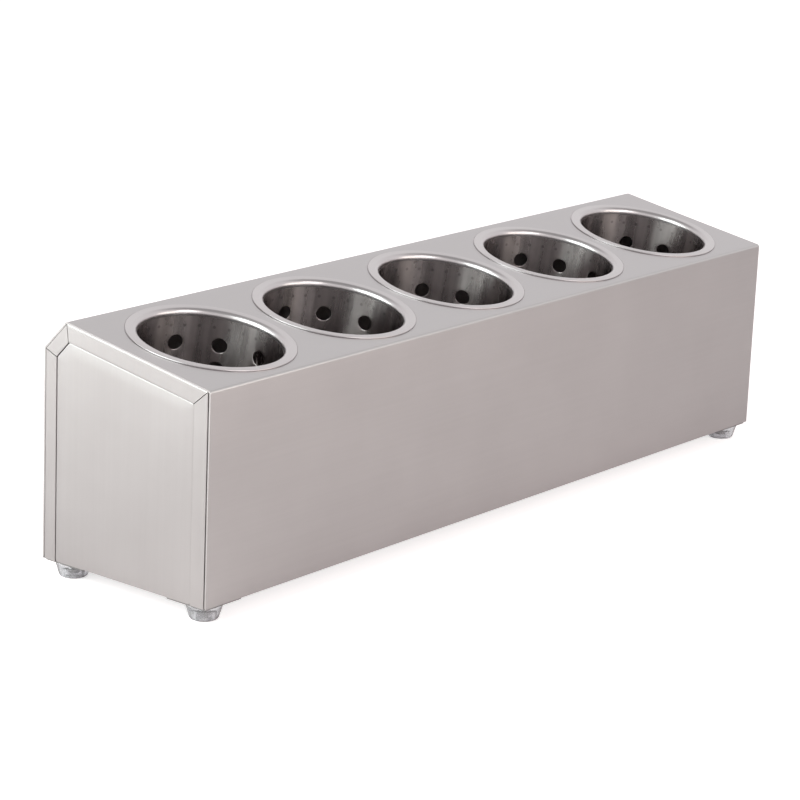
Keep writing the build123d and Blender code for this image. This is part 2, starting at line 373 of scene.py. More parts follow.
def beside(at, length, depth):
    """Points left of a path by depth: place + depth * (-sin, cos of the heading)."""
    place, heading = at(length)
    return place + depth[:, None] * np.stack([-np.sin(heading), np.cos(heading)], axis=1)


def lines_along(marks, counts):
    """Grid lines between the marks: counts[i] equal steps in run i."""
    steps = [np.linspace(a, b, n, endpoint=False) for a, b, n in zip(marks, marks[1:], counts)]
    return np.concatenate(steps + [marks[-1:]])


quarter, _ = bent_path([(0, 0), (1, 0), (1, 1)], 0.5)
print("a square corner rounded to 0.5 has runs of", np.round(np.diff(quarter), 3))

# %% [markdown]
# ## The studio
#
# The photograph was lit for a catalogue: white all round, large soft lamps and a
# white floor. Bare steel shows its surroundings more than its own colour, so
# the surroundings matter as much as the material. The world is white where the
# camera or a transmitted ray sees it, and dimmer where it only lights the floor.
# Reflections see it white too, up to a ceiling that is dark between the lamps:
# without that ceiling the insides of the cylinders would be white.
#
# The floor is pale, catches the object's shadow, and is lifted towards white
# for the camera. In the photograph that white was put in afterwards, so the
# steel mirrors a greyer floor, and here reflections get only a share of the lift.

# %% Node helpers
def emptied_tree(owner):
    """The node tree of a material or a world, with nothing in it."""
    owner.use_nodes = True
    owner.node_tree.nodes.clear()
    return owner.node_tree


def add_node(tree, kind, settings=None, **values):
    """Add a shader node, set its settings, and fill or link its inputs.

    An input is given by its name, such as Base_Color, or by its number, such as _0.
    """
    node = tree.nodes.new(kind)
    for key, value in (settings or {}).items():
        setattr(node, key, value)
    for key, value in values.items():
        name = int(key[1:]) if key[0] == "_" else key.replace("_", " ")
        socket = node.inputs[name]
        if isinstance(value, bpy.types.NodeSocket):
            tree.links.new(value, socket)
        else:
            socket.default_value = value
    return node


def maths(tree, operation, *values, clamp=False):
    """One Math node's result."""
    inputs = {f"_{i}": value for i, value in enumerate(values)}
    settings = {"operation": operation, "use_clamp": clamp}
    return add_node(tree, "ShaderNodeMath", settings, **inputs).outputs[0]


def seen_directly(tree, reflected=1.0):
    """1 for camera and transmission rays, reflected for glossy ones, 0 for the rest."""
    path = add_node(tree, "ShaderNodeLightPath").outputs
    glossy = maths(tree, "MULTIPLY", path["Is Glossy Ray"], reflected)
    seen = maths(tree, "MAXIMUM", path["Is Camera Ray"], glossy)
    return maths(tree, "MAXIMUM", seen, path["Is Transmission Ray"])


# %% World
AMBIENT = 0.45  # light that the world adds to matt surfaces
CEILING = 0.3  # how bright the ceiling is in reflections
CEILING_STARTS, CEILING_FULL = 0.67, 0.88  # the Z of a ray's direction

world = bpy.data.worlds.new("white_studio")
bpy.context.scene.world = world
world_tree = emptied_tree(world)
direction = add_node(world_tree, "ShaderNodeTexCoord").outputs["Generated"]
height = add_node(world_tree, "ShaderNodeSeparateXYZ", Vector=direction).outputs["Z"]
reflected = add_node(
    world_tree, "ShaderNodeMapRange", {"interpolation_type": "SMOOTHSTEP"},
    Value=height, From_Min=CEILING_STARTS, From_Max=CEILING_FULL, To_Min=1.0, To_Max=CEILING,
).outputs[0]
level = maths(world_tree, "MAXIMUM", seen_directly(world_tree, reflected), AMBIENT)
background = add_node(world_tree, "ShaderNodeBackground", Color=(1, 1, 1, 1), Strength=level)
add_node(world_tree, "ShaderNodeOutputWorld", Surface=background.outputs[0])
bpy.context.scene.view_settings.view_transform = "Standard"
print("ambient light for matt surfaces:", AMBIENT)

# %% Floor
FLOOR_RADIUS = 9.0
FLOOR_TONE = (0.80, 0.72, 0.725, 1)
FLOOR_LIFT = 0.7  # emitted for camera and transmission rays
FLOOR_REFLECTED = 0.22  # share of that lift in reflections

angles = np.linspace(0, math.tau, 65)[:-1]
floor_edge = FLOOR_RADIUS * np.stack([np.cos(angles), np.sin(angles), 0 * angles], axis=1)
floor_mesh = bpy.data.meshes.new("floor")
floor_mesh.from_pydata(floor_edge.tolist(), [], [list(range(len(angles)))])
floor = bpy.data.objects.new("floor", floor_mesh)
bpy.context.scene.collection.objects.link(floor)

floor_material = bpy.data.materials.new("pale_floor")
floor_tree = emptied_tree(floor_material)
matt = add_node(floor_tree, "ShaderNodeBsdfDiffuse", Color=FLOOR_TONE)
lift = maths(floor_tree, "MULTIPLY", seen_directly(floor_tree, FLOOR_REFLECTED), FLOOR_LIFT)
glow = add_node(floor_tree, "ShaderNodeEmission", Color=(1, 1, 1, 1), Strength=lift)
both = add_node(floor_tree, "ShaderNodeAddShader", _0=matt.outputs[0], _1=glow.outputs[0])
add_node(floor_tree, "ShaderNodeOutputMaterial", Surface=both.outputs[0])
floor_mesh.materials.append(floor_material)
print("floor is", 2 * FLOOR_RADIUS, "m across")

# %% [markdown]
# Four lamps stand out of view. The key lamp at the left and the front lamp are
# high, and the cylinders mirror them as two bands of light, one each side of
# the far wall. The other two are low and close. They light a patch of floor at
# the left and at the front, and the end and the front of the housing mirror
# those patches: light at the top, darker towards the floor, as in the photograph.

# %% Lamps
def soft_lamp(name, place, aim, width, height, watts, colour=(1, 1, 1)):
    """A rectangular area lamp at a place, facing a point."""
    data = bpy.data.lights.new(name, "AREA")
    data.shape = "RECTANGLE"
    data.size, data.size_y = width, height
    data.energy = watts
    data.color = colour
    lamp = bpy.data.objects.new(name, data)
    lamp.location = place
    lamp.rotation_euler = (Vector(aim) - Vector(place)).to_track_quat("-Z", "Y").to_euler()
    bpy.context.scene.collection.objects.link(lamp)
    print(f"{name}: {watts} W over {width} by {height} m")


KEY_TINT = (0.875, 1.0, 0.965)
FRONT_TINT = (1.0, 0.98, 0.96)
NEAR_TINT = (1.0, 0.935, 0.84)
soft_lamp("key_lamp", (-1.9, 0.5, 1.25), (-0.4, 0.15, 0), 1.6, 1.5, 32, KEY_TINT)
soft_lamp("front_lamp", (-0.25, -2.2, 1.5), (0, 0, 0.1), 1.2, 1.2, 14, FRONT_TINT)
soft_lamp("low_lamp", (-1.1, 0.95, 0.45), (-0.6, 0.4, 0), 0.8, 0.6, 6.6, KEY_TINT)
soft_lamp("near_lamp", (0.4, -1.22, 0.45), (0.15, -0.57, 0), 0.8, 0.6, 2.6, NEAR_TINT)

# %% [markdown]
# ## Steel finishes
#
# All the sheet is one alloy with three finishes: brushed on the outside, satin on
# the rims' flanges, and polished inside the cylinders. The cylinders' steel gets a
# darker tone than the sheet's, a painted shade for their dark insides. What they
# share is put in two node groups: a grain, which is noise stretched along the
# direction of the rolling or polishing, and handling marks, which are the soft
# clouds that hands and cloths leave. On the cylinders the grain's streaks are made
# strong enough to paint bands of reflection too. Each material sets its own scale
# and strength.

# %% Pattern helpers
def new_group(name, inputs, outputs):
    """An empty shader node group. inputs: (name, type, value); outputs: (name, type)."""
    group = bpy.data.node_groups.new(name, "ShaderNodeTree")
    for label, kind, value in inputs:
        socket = group.interface.new_socket(name=label, in_out="INPUT", socket_type=kind)
        socket.default_value = value
    for label, kind in outputs:
        group.interface.new_socket(name=label, in_out="OUTPUT", socket_type=kind)
    return group, group.nodes.new("NodeGroupInput"), group.nodes.new("NodeGroupOutput")


def noise(tree, vector, scale, detail=2.0, roughness=0.5):
    """Noise between 0 and 1 at a scale in cells per metre."""
    values = {"Vector": vector, "Scale": scale, "Detail": detail, "Roughness": roughness}
    return add_node(tree, "ShaderNodeTexNoise", **values).outputs["Fac"]


def stretched(tree, vector, scale):
    """The coordinates multiplied by a scale for each direction."""
    settings = {"operation": "MULTIPLY"}
    return add_node(tree, "ShaderNodeVectorMath", settings, _0=vector, _1=scale).outputs[0]


def sharpened(tree, value, contrast):
    """Spread a value from its middle: (value - 0.5) * contrast + 0.5, kept in 0 to 1."""
    spread = maths(tree, "MULTIPLY", maths(tree, "SUBTRACT", value, 0.5), contrast)
    return maths(tree, "ADD", spread, 0.5, clamp=True)


# %% Grain and handling groups
grain_group, grain_in, grain_out = new_group(
    "steel_grain",
    [
        ("Vector", "NodeSocketVector", (0, 0, 0)),
        ("Cells per metre", "NodeSocketVector", (8, 900, 900)),
        ("Fine cells per metre", "NodeSocketVector", (40, 4000, 4000)),
        ("Contrast", "NodeSocketFloat", 1.0),
    ],
    [("Streaks", "NodeSocketFloat"), ("Fine", "NodeSocketFloat")],
)
streak_at = stretched(grain_group, grain_in.outputs[0], grain_in.outputs[1])
fine_at = stretched(grain_group, grain_in.outputs[0], grain_in.outputs[2])
streaks = noise(grain_group, streak_at, 1.0, 3.0, 0.6)
streaks = sharpened(grain_group, streaks, grain_in.outputs[3])
grain_group.links.new(streaks, grain_out.inputs[0])
grain_group.links.new(noise(grain_group, fine_at, 1.0, 2.0, 0.5), grain_out.inputs[1])

marks_group, marks_in, marks_out = new_group(
    "handling_marks",
    [
        ("Vector", "NodeSocketVector", (0, 0, 0)),
        ("Clouds per metre", "NodeSocketFloat", 14.0),
        ("Contrast", "NodeSocketFloat", 2.0),
    ],
    [("Mask", "NodeSocketFloat")],
)
cloud = noise(marks_group, marks_in.outputs[0], marks_in.outputs[1], 4.0, 0.55)
marks_group.links.new(sharpened(marks_group, cloud, marks_in.outputs[2]), marks_out.inputs[0])
print("node groups:", grain_group.name, "and", marks_group.name)

# %% Mixing helpers
def mix_colours(tree, factor, low, high):
    """A colour between two, by a factor."""
    settings = {"data_type": "RGBA"}
    return add_node(tree, "ShaderNodeMix", settings, _0=factor, _6=low, _7=high).outputs[2]


def between(tree, factor, low, high):
    """A number between two, by a factor."""
    ends = {"To_Min": low, "To_Max": high}
    return add_node(tree, "ShaderNodeMapRange", Value=factor, **ends).outputs[0]


def new_material(name, **constants):
    """A material with one Principled shader, its constants set on its own sockets."""
    material = bpy.data.materials.new(name)
    tree = emptied_tree(material)
    shader = add_node(tree, "ShaderNodeBsdfPrincipled", **constants)
    add_node(tree, "ShaderNodeOutputMaterial", Surface=shader.outputs[0])
    return material, tree, shader


def dress(tree, shader, colour, roughness, fine, bump):
    """Link a colour, a roughness and the bumps of a fine pattern to a shader."""
    bumps = add_node(tree, "ShaderNodeBump", Height=fine, Strength=1.0, Distance=bump)
    tree.links.new(colour, shader.inputs["Base Color"])
    tree.links.new(roughness, shader.inputs["Roughness"])
    tree.links.new(bumps.outputs[0], shader.inputs["Normal"])


# %% [markdown]
# A cylinder's rim is spot welded to its sleeve, which leaves a row of faint dark
# spots just under the lip. They follow the sheet, so their place is worked out
# on the flat blank, where a row of spots is only a repeated distance.

# %% Weld spots
def weld_spots(tree, blank, spacing, height, radius):
    """1 in each spot of a row: fraction of the length / spacing, distance to its middle."""
    along, up, _ = add_node(tree, "ShaderNodeSeparateXYZ", Vector=blank).outputs
    step = maths(tree, "FRACT", maths(tree, "DIVIDE", along, spacing))
    across = maths(tree, "MULTIPLY", maths(tree, "SUBTRACT", step, 0.5), spacing)
    above = maths(tree, "SUBTRACT", up, height)
    squares = maths(tree, "MULTIPLY_ADD", across, across, maths(tree, "MULTIPLY", above, above))
    return add_node(
        tree, "ShaderNodeMapRange", {"interpolation_type": "SMOOTHSTEP"},
        Value=maths(tree, "SQRT", squares), From_Min=0.6 * radius, From_Max=1.4 * radius,
        To_Min=1.0, To_Max=0.0,
    ).outputs[0]


# %% [markdown]
# One function builds every steel. It streaks and clouds the tone, a little on the
# sheet and strongly on the cylinders, where the streaks are painted bands of
# reflection. It varies the roughness with both, and adds the fine grain as bump. A
# freshly cut edge is brighter than the skin, which the mask from the fold function
# decides.
#
# The cylinders are polished along their length. Fine scratches all one way
# stretch a reflection across themselves, which the Principled shader calls
# anisotropy. Each lamp becomes a tall band of light on the wall. The values
# are the same all over, so they are set on the shader and not linked.

# %% Steel materials
CUT_EDGE_TONE = 1.08  # times the skin's tone
SPOT_TONE = 0.3
SPOT_STRENGTH = 0.5


def shade(tone, times):
    """A tone made lighter or darker, as a colour with its alpha."""
    return tuple(min(1, c * times) for c in tone) + (1,)


def steel(name, tone, cells, fine_cells, roughness, bump, from_blank=False, clouds=14.0,
          tone_spread=0.06, contrast=1.0, spots=None, **constants):
    """Bare steel: a tone streaked by the grain and clouded by handling.

    cells and fine_cells are the grain's cells per metre, clouds those of the
    marks. roughness is (least, most), bump the grain's height in metres. The tone
    varies by tone_spread, with streaks of the given contrast; spread wide and
    sharpened, the streaks paint bands of reflection. from_blank takes the pattern
    from the flat blank instead of from space. spots is the spacing, height and
    radius of a row of weld spots, and constants go to the shader.
    """
    material, tree, shader = new_material(name, Metallic=1.0, **constants)
    coordinates = add_node(tree, "ShaderNodeTexCoord").outputs["UV" if from_blank else "Object"]
    grain = add_node(
        tree, "ShaderNodeGroup", {"node_tree": grain_group}, Vector=coordinates,
        Cells_per_metre=cells, Fine_cells_per_metre=fine_cells, Contrast=contrast,
    ).outputs
    marks = add_node(
        tree, "ShaderNodeGroup", {"node_tree": marks_group}, Vector=coordinates,
        Clouds_per_metre=clouds,
    ).outputs["Mask"]
    texture = maths(tree, "MULTIPLY", maths(tree, "ADD", grain["Streaks"], marks), 0.5)
    dark, light = shade(tone, 1 - tone_spread), shade(tone, 1 + tone_spread)
    skin = mix_colours(tree, texture, dark, light)
    if spots:
        spot = maths(tree, "MULTIPLY", weld_spots(tree, coordinates, *spots), SPOT_STRENGTH)
        skin = mix_colours(tree, spot, skin, shade(tone, SPOT_TONE))
    cut = add_node(tree, "ShaderNodeAttribute", {"attribute_name": "cut_edge"}).outputs["Fac"]
    colour = mix_colours(tree, cut, skin, shade(tone, CUT_EDGE_TONE))
    dress(tree, shader, colour, between(tree, texture, *roughness), grain["Fine"], bump)
    return material


# %% The finishes
STEEL_TONE = (0.52, 0.498, 0.495)
GRAZING_TINT = (0.975, 0.95, 0.975, 1)  # brushed sheet mirrors less at a low angle
housing_steel = steel(
    "brushed_sheet", STEEL_TONE, (6, 500, 500), (30, 3500, 3500), (0.30, 0.40), 0.01 * MM,
    Specular_Tint=GRAZING_TINT,
)
panel_steel = steel(
    "brushed_panel", STEEL_TONE, (500, 500, 6), (3500, 3500, 30), (0.30, 0.40), 0.006 * MM,
    Specular_Tint=GRAZING_TINT,
)
rim_steel = steel(
    "satin_rim", (0.56, 0.523, 0.528), (300, 300, 300), (2500, 2500, 2500), (0.26, 0.34),
    0.005 * MM, Anisotropic=0.5, Anisotropic_Rotation=0.25,
)
# The cylinders' tone is darker than the sheet's: a painted shade for their dark insides. Its
# wide, sharpened streaks are polishing marks and painted bands of reflection together.
CYLINDER_STEEL_PAINTED_SHADE_AND_REFLECTION = dict(
    tone=(0.335, 0.295, 0.293), cells=(80, 4, 1), fine_cells=(25, 3500, 1),
    roughness=(0.22, 0.32), bump=0.01 * MM, from_blank=True, clouds=30.0, tone_spread=0.5,
    contrast=2.5, Anisotropic=1.0, Anisotropic_Rotation=0.25,
)
SPOTS_AROUND = 30
WELD_ROW = (math.tau * CUP_RADIUS / SPOTS_AROUND, -10.5 * MM, 1.1 * MM)
sleeve_steel = steel("polished_sleeve_painted_shade_and_reflection", spots=WELD_ROW, **CYLINDER_STEEL_PAINTED_SHADE_AND_REFLECTION)
base_steel = steel("polished_base_painted_shade_and_reflection", **CYLINDER_STEEL_PAINTED_SHADE_AND_REFLECTION)
print("steel materials made:", [m.name for m in bpy.data.materials if m.name != "pale_floor"])

# %% [markdown]
# ## The housing
#
# The real housing is one sheet, 1.2 mm thick: front, sloping top, bevel and back,
# with two narrow returns underneath. Its blank is a long rectangle with five
# holes. The blank's width is the length along the section's path, so folding is
# one call to bent_path. A large flat sheet is never quite flat, so the front,
# top and back sag inwards, by 0.15 mm at most.

# %% Section of the housing
def section_corners(inset, front_gap=0.0, back_gain=0.0):
    """The section's three upper corners, moved in square to each side by inset.

    The front moves in by front_gap more, the bevel and the back by back_gain less.
    """
    bevel = math.atan2(BEVEL_DROP, BACK_Y - RIDGE_Y)
    back_inset = inset - back_gain
    front, back = FRONT_Y + front_gap + inset, BACK_Y - back_inset
    ridge = RIDGE_Y + (inset / math.cos(SLOPE) - back_inset / math.cos(bevel)) / (
        math.tan(SLOPE) + math.tan(bevel)
    )

    def top_at(y):
        return FRONT_Z + (y - FRONT_Y) * math.tan(SLOPE) - inset / math.cos(SLOPE)

    back_z = RIDGE_Z - (back - RIDGE_Y) * math.tan(bevel) - back_inset / math.cos(bevel)
    return [(front, top_at(front)), (ridge, top_at(ridge)), (back, back_z)]


RETURN_NOTCH = 19.541 * MM  # the returns stop clear of the feet's nuts
section_marks, section_at = bent_path(
    [(FRONT_Y + RETURN_WIDTH, HOUSING_FLOOR), (FRONT_Y, HOUSING_FLOOR)]
    + section_corners(0)
    + [(BACK_Y, HOUSING_FLOOR), (BACK_Y - RETURN_WIDTH, HOUSING_FLOOR)],
    np.array([RETURN_BEND, HOUSING_BEND, HOUSING_BEND, HOUSING_BEND, RETURN_BEND]),
)
print("the blank is", round(section_marks[-1] / MM, 1), "mm wide")

# %% Lines of the housing's blank
# Runs: return, bend, front, bend, top, bend, bevel, bend, back, bend, return
FRONT_RUN, TOP_RUN, BACK_RUN = 2, 4, 8
SIDE_STEPS = 24  # along each side of a mouth's square cell
SECTION_STEPS = [2, 8, 14, 8, SIDE_STEPS, 6, 4, 6, 12, 8, 2]
MOUTH_RADIUS = CUP_RADIUS + 3.3 * MM  # clear of the rim's rolled lip
SAG = 0.15 * MM
SAG_WAVE = 11  # radians per metre of length

mouths_x = (np.arange(CUP_COUNT) - (CUP_COUNT - 1) / 2) * CUP_PITCH
cells_start = mouths_x[0] - CUP_PITCH / 2
housing_x = np.concatenate([
    [-END_X, (cells_start - END_X) / 2],
    np.linspace(cells_start, -cells_start, CUP_COUNT * SIDE_STEPS + 1),
    [(END_X - cells_start) / 2, END_X],
])
for notch in (-END_X + RETURN_NOTCH, END_X - RETURN_NOTCH):
    housing_x[np.argmin(abs(housing_x - notch))] = notch
section_lines = lines_along(section_marks, SECTION_STEPS)
top_start, top_end = section_marks[TOP_RUN], section_marks[TOP_RUN + 1]
bend_cut = HOUSING_BEND * math.tan((math.pi / 2 - SLOPE) / 2)
mouth_across = top_start + (TOP_WIDTH / 2 - bend_cut)
print("the blank has", len(housing_x), "lines one way and", len(section_lines), "the other")


# %% Fold the housing
def housing_blank():
    """The flat blank: a grid with five square cells and four corners cut away."""
    points, quads = grid_patch(housing_x, section_lines)
    middle = points[quads].mean(axis=1)
    in_top = (middle[:, 1] > top_start) & (middle[:, 1] < top_end)
    in_cells = in_top & (abs(middle[:, 0]) < -cells_start)
    in_return = (middle[:, 1] < section_marks[1]) | (middle[:, 1] > section_marks[-2])
    in_notch = in_return & (abs(middle[:, 0]) > END_X - RETURN_NOTCH)
    patches = [(points, quads[~(in_cells | in_notch)])]
    top_lines = section_lines[(section_lines >= top_start) & (section_lines <= top_end)]
    for x in mouths_x:
        near = housing_x[abs(housing_x - x) < CUP_PITCH / 2 + 1e-6]
        border, centre = cell_border(near, top_lines), np.array([x, mouth_across])
        patches.append(hole_cell(border, centre, MOUTH_RADIUS, bridge=(0, 0.3, 0.6, 1)))
    return join_patches(patches)


def on_housing(flat, depth):
    """Place on the folded housing: along X, and along the section's path.

    The point lies depth under the path. On each wide face it sinks a little more,
    by a squared half wave of a sine across the face times a slow wave along it.
    """
    x, length = flat.T
    run = np.searchsorted(section_marks, length, side="right") - 1
    run = np.clip(run, 0, len(section_marks) - 2)
    share = (length - section_marks[run]) / np.diff(section_marks)[run]
    wide = np.isin(run, [FRONT_RUN, TOP_RUN, BACK_RUN])
    across = np.sin(math.pi * np.clip(share, 0, 1)) ** 2
    sag = SAG * wide * across * (0.6 + 0.4 * np.sin(x * SAG_WAVE + run))
    return np.column_stack([x, beside(section_at, length, -depth - sag)])


housing = fold([(housing_blank(), on_housing)], HOUSING_SHEET)
new_piece("folded_housing", housing, housing_steel, "housing", "body_shell")

# %% [markdown]
# ## End frames
#
# Each end is closed by a channel folded round the section. Its face shows as
# four strips that meet in mitres, with a dark gap behind the housing's raw front
# edge. A strip is a folded sheet too: its blank runs along the strip one way and
# across the channel the other. Every corner of the section moves in a straight
# line as the inset grows, so a strip whose ends follow those lines gets its
# mitres by itself.

# %% Corners and section of an end frame
FRAME_SHEET = 1.0 * MM
FRAME_INSET = HOUSING_SHEET
FRAME_WIDTH = 12 * MM
FRAME_NARROWING = 2.3 * MM  # along the bevel and the back
FRAME_LEG = 14 * MM
FRAME_INNER_LEG = 8 * MM
FRAME_BEND = 0.6 * MM
FRAME_FRONT_GAP = 1.2 * MM  # open seam behind the front's raw edge
FRAME_X = END_X - 0.1 * MM  # its face, a hair inside the raw edges
MITRE_GAP = 0.5 * MM


def end_corners():
    """The five corners of an end, feet included: places, and moves per metre of inset.

    Between the frame's outer and inner edge each corner moves in a straight line.
    """
    outer = np.array(section_corners(FRAME_INSET, FRAME_FRONT_GAP))
    inset = FRAME_INSET + FRAME_WIDTH
    inner = np.array(section_corners(inset, FRAME_FRONT_GAP, FRAME_NARROWING))
    outer = np.stack([(outer[0][0], HOUSING_FLOOR), *outer, (outer[2][0], HOUSING_FLOOR)])
    inner = np.stack([(inner[0][0], HOUSING_FLOOR), *inner, (inner[2][0], HOUSING_FLOOR)])
    leans = (inner - outer) / FRAME_WIDTH
    return outer - FRAME_INSET * leans, leans


corner_places, corner_leans = end_corners()
channel_marks, channel_at = bent_path(
    [
        (FRAME_INSET, FRAME_LEG),
        (FRAME_INSET, 0),
        (FRAME_INSET + FRAME_WIDTH, 0),
        (FRAME_INSET + FRAME_WIDTH, FRAME_INNER_LEG),
    ],
    FRAME_BEND,
)
print("the channel is", round(channel_marks[-1] / MM, 1), "mm wide when flat")


# %% Fold the end frames
def strip_place(index):
    """The place function of one strip of the left end frame.

    The blank's first number is the share of the strip's length, its second the
    length across the channel, which gives an inset and a depth behind the face.
    Place = (1 - share) * start(inset) + share * end(inset).
    """
    heading = np.subtract(corner_places[index + 1], corner_places[index])
    heading /= np.linalg.norm(heading)

    def end_line(corner, side, inset):
        lean = corner_leans[corner]
        line = corner_places[corner] + inset[:, None] * lean
        if corner in (0, 4):  # the two ends at the foot have no mitre
            return line
        across = abs(lean[0] * heading[1] - lean[1] * heading[0]) / np.linalg.norm(lean)
        return line + side * MITRE_GAP / 2 / across * heading

    def place(flat, depth):
        inset, behind = beside(channel_at, flat[:, 1], depth).T
        start, end = end_line(index, 1, inset), end_line(index + 1, -1, inset)
        along = (1 - flat[:, :1]) * start + flat[:, :1] * end
        return np.column_stack([-FRAME_X + behind, along])

    return place


def both_ends(kind, part, left_sheet):
    """The left end's sheet as a piece, and its mirror image as the right end's."""
    for side, sheet in (("left", left_sheet), ("right", mirrored(*left_sheet))):
        name, node = f"{side}_{kind}", f"{side}_end_{part}"
        new_piece(name, sheet, panel_steel, "housing", node)


strip_blank = grid_patch(np.linspace(0, 1, 13), lines_along(channel_marks, [3, 6, 6, 6, 2]))
strips = [fold([(strip_blank, strip_place(i))], FRAME_SHEET) for i in range(4)]
both_ends("mitred_frame", "frame", merge(*strips))

# %% [markdown]
# ## End panels
#
# Inside each frame stands a shallow pan. Its edge falls away so gently that it
# shows only as a soft change of tone, so the section is a straight slope joined
# to the face by a very wide bend. The roll is a grid: once round the outline,
# and across the bends. The face has no pole: rings lead from the outline to a
# small rectangle of squares in the middle, so that the slightly hollow sheet
# shades evenly.

# %% Outline and section of an end panel
PANEL_SHEET = 1.0 * MM
PANEL_GAP = 0.1 * MM
PANEL_INSET = FRAME_INSET + FRAME_WIDTH + PANEL_GAP
PANEL_BACK_GAP = 0.35 * MM  # it stands nearer to the front
PANEL_CORNER = 1.8 * MM
PANEL_FLANGE = 8 * MM
PANEL_BOTTOM_FLANGE = 20 * MM
PANEL_FLANGE_GAP = 0.5 * MM  # between the bottom flange and each return
PANEL_DISH = 0.3 * MM
PANEL_SHOULDER = 10 * MM  # width of the soft slope inside the panel's edge
PANEL_DROP = 0.5 * MM  # how far the slope falls from face to edge
PANEL_BENDS = np.array([0.3, 88]) * MM  # at the edge, and at the foot of the slope
CORE_SHARE = 0.45  # of the face's size, for the rectangle in its middle
OUTLINE_STEPS = [8, 6, 12, 6, 12, 4, 4, 4, 10, 6, 8]


def panel_outline(inset):
    """Points round the panel at an inset from its edge, from the middle of its foot."""
    upper = section_corners(
        PANEL_INSET + inset, FRAME_FRONT_GAP, FRAME_NARROWING - PANEL_BACK_GAP
    )
    low = HOUSING_FLOOR + inset
    start = ((upper[0][0] + upper[2][0]) / 2, low)
    marks, at = bent_path(
        [start, (upper[0][0], low), *upper, (upper[2][0], low), start], PANEL_CORNER + inset / 2
    )
    return at(lines_along(marks, OUTLINE_STEPS))[0]


edge_outline, face_outline = panel_outline(0), panel_outline(PANEL_SHOULDER)
pan_marks, pan_at = bent_path(
    [(0, PANEL_FLANGE), (0, PANEL_DROP), (PANEL_SHOULDER / 2, 0), (PANEL_SHOULDER, 0)],
    PANEL_BENDS,
)
low_y, high_y = face_outline[:, 0].min(), face_outline[:, 0].max()
low_z, high_z = face_outline[:, 1].min(), face_outline[:, 1].max()
print("the panel's face is", round((high_y - low_y) / MM, 1), "mm wide")


# %% Face of an end panel
def dish(place):
    """How far the face sinks in the middle: a product of two half waves."""
    y = np.clip((place[:, 0] - low_y) / (high_y - low_y), 0, 1)
    z = np.clip((place[:, 1] - low_z) / (high_z - low_z), 0, 1)
    return PANEL_DISH * np.sin(math.pi * y) * np.sin(math.pi * z)


def on_panel_face(flat, depth):
    """Place on the face: the blank is the face itself, sunk a little in the middle."""
    return np.column_stack([-FRAME_X + depth + dish(flat), flat])


def panel_face_blank():
    """Rings from the roll's inner edge to a rectangle, and the rectangle's grid."""
    side = (len(face_outline) - 1) // 4
    ring = np.roll(face_outline[:-1], -(side // 2), axis=0)
    picks = ring[[0, side, 2 * side, 3 * side]]
    middle = ring.mean(axis=0)
    core = middle + CORE_SHARE * (picks - middle)
    share = np.linspace(0, 1, side + 1)
    u, v = np.meshgrid(share, share)
    weights = np.stack([(1 - u) * (1 - v), u * (1 - v), u * v, (1 - u) * v], axis=-1)
    grid = weights @ core
    border = np.concatenate([grid[0, :-1], grid[:-1, -1], grid[-1, :0:-1], grid[:0:-1, 0]])
    steps = np.array([0, 0.1, 0.3, 0.6, 1])[:, None, None]
    rings = (1 - steps) * ring + steps * border
    rings = np.concatenate([rings, rings[:, :1]], axis=1)
    return join_patches([flat_patch(rings), flat_patch(grid)])


face_blank = panel_face_blank()
print("the face has", len(face_blank[1]), "squares")


# %% Fold the end panels
def on_panel_roll(flat, depth):
    """Place on the rolled edge. The blank's first number counts round the outline.

    Place = (1 - w) * edge outline + w * face outline, where w is the inset's
    share of the shoulder, so that the corners move in along their mitres.
    """
    inset, behind = beside(pan_at, flat[:, 1], depth).T
    count = np.round(flat[:, 0]).astype(int)
    share = inset[:, None] / PANEL_SHOULDER
    place = (1 - share) * edge_outline[count] + share * face_outline[count]
    return np.column_stack([-FRAME_X + behind, place])


def on_bottom_flange(flat, depth):
    """The wider flange along the bottom, level, its outer skin downwards."""
    return np.column_stack([-FRAME_X + flat[:, 0], flat[:, 1], HOUSING_FLOOR + depth])


roll_blank = grid_patch(np.arange(len(edge_outline)), lines_along(pan_marks, [2, 4, 2, 6, 2]))
half_flange = BACK_Y - RETURN_WIDTH - PANEL_FLANGE_GAP
flange_blank = grid_patch(
    np.linspace(PANEL_FLANGE - PANEL_SHEET, PANEL_BOTTOM_FLANGE, 3),
    np.linspace(half_flange, -half_flange, 9),
)
pan = fold([(roll_blank, on_panel_roll), (face_blank, on_panel_face)], PANEL_SHEET)
bottom_flange = fold([(flange_blank, on_bottom_flange)], PANEL_SHEET)
both_ends("pan_panel", "panel", merge(pan, bottom_flange))

# %% [markdown]
# ## The cylinders
#
# Each cylinder is three parts welded together: a rim ring that hangs on the top,
# a sleeve rolled from a punched strip, and a dished base. Each has a function
# that turns its blank into a radius, an angle and a height above the top's face.
# All share one axis, square to the sloping top, so one more function takes those
# three to their place, and another makes the five copies, each at its own turn.

# %% Places on a cylinder
CUP_TURNS = np.radians([32.8, 45.3, 18.8, 22.1, 9.3])  # as each was dropped in
CUP_REVERSED = [False, False, True, False, True]  # sleeve rolled other end up
THROAT = 4 * MM
BASE_HEIGHT = 6 * MM
CUP_OUTSIDE = CUP_RADIUS + CUP_SHEET
LENGTH_AXIS = np.array([1.0, 0.0, 0.0])
UP_SLOPE = np.array([0.0, math.cos(SLOPE), math.sin(SLOPE)])
CUP_AXIS = np.array([0.0, -math.sin(SLOPE), math.cos(SLOPE)])


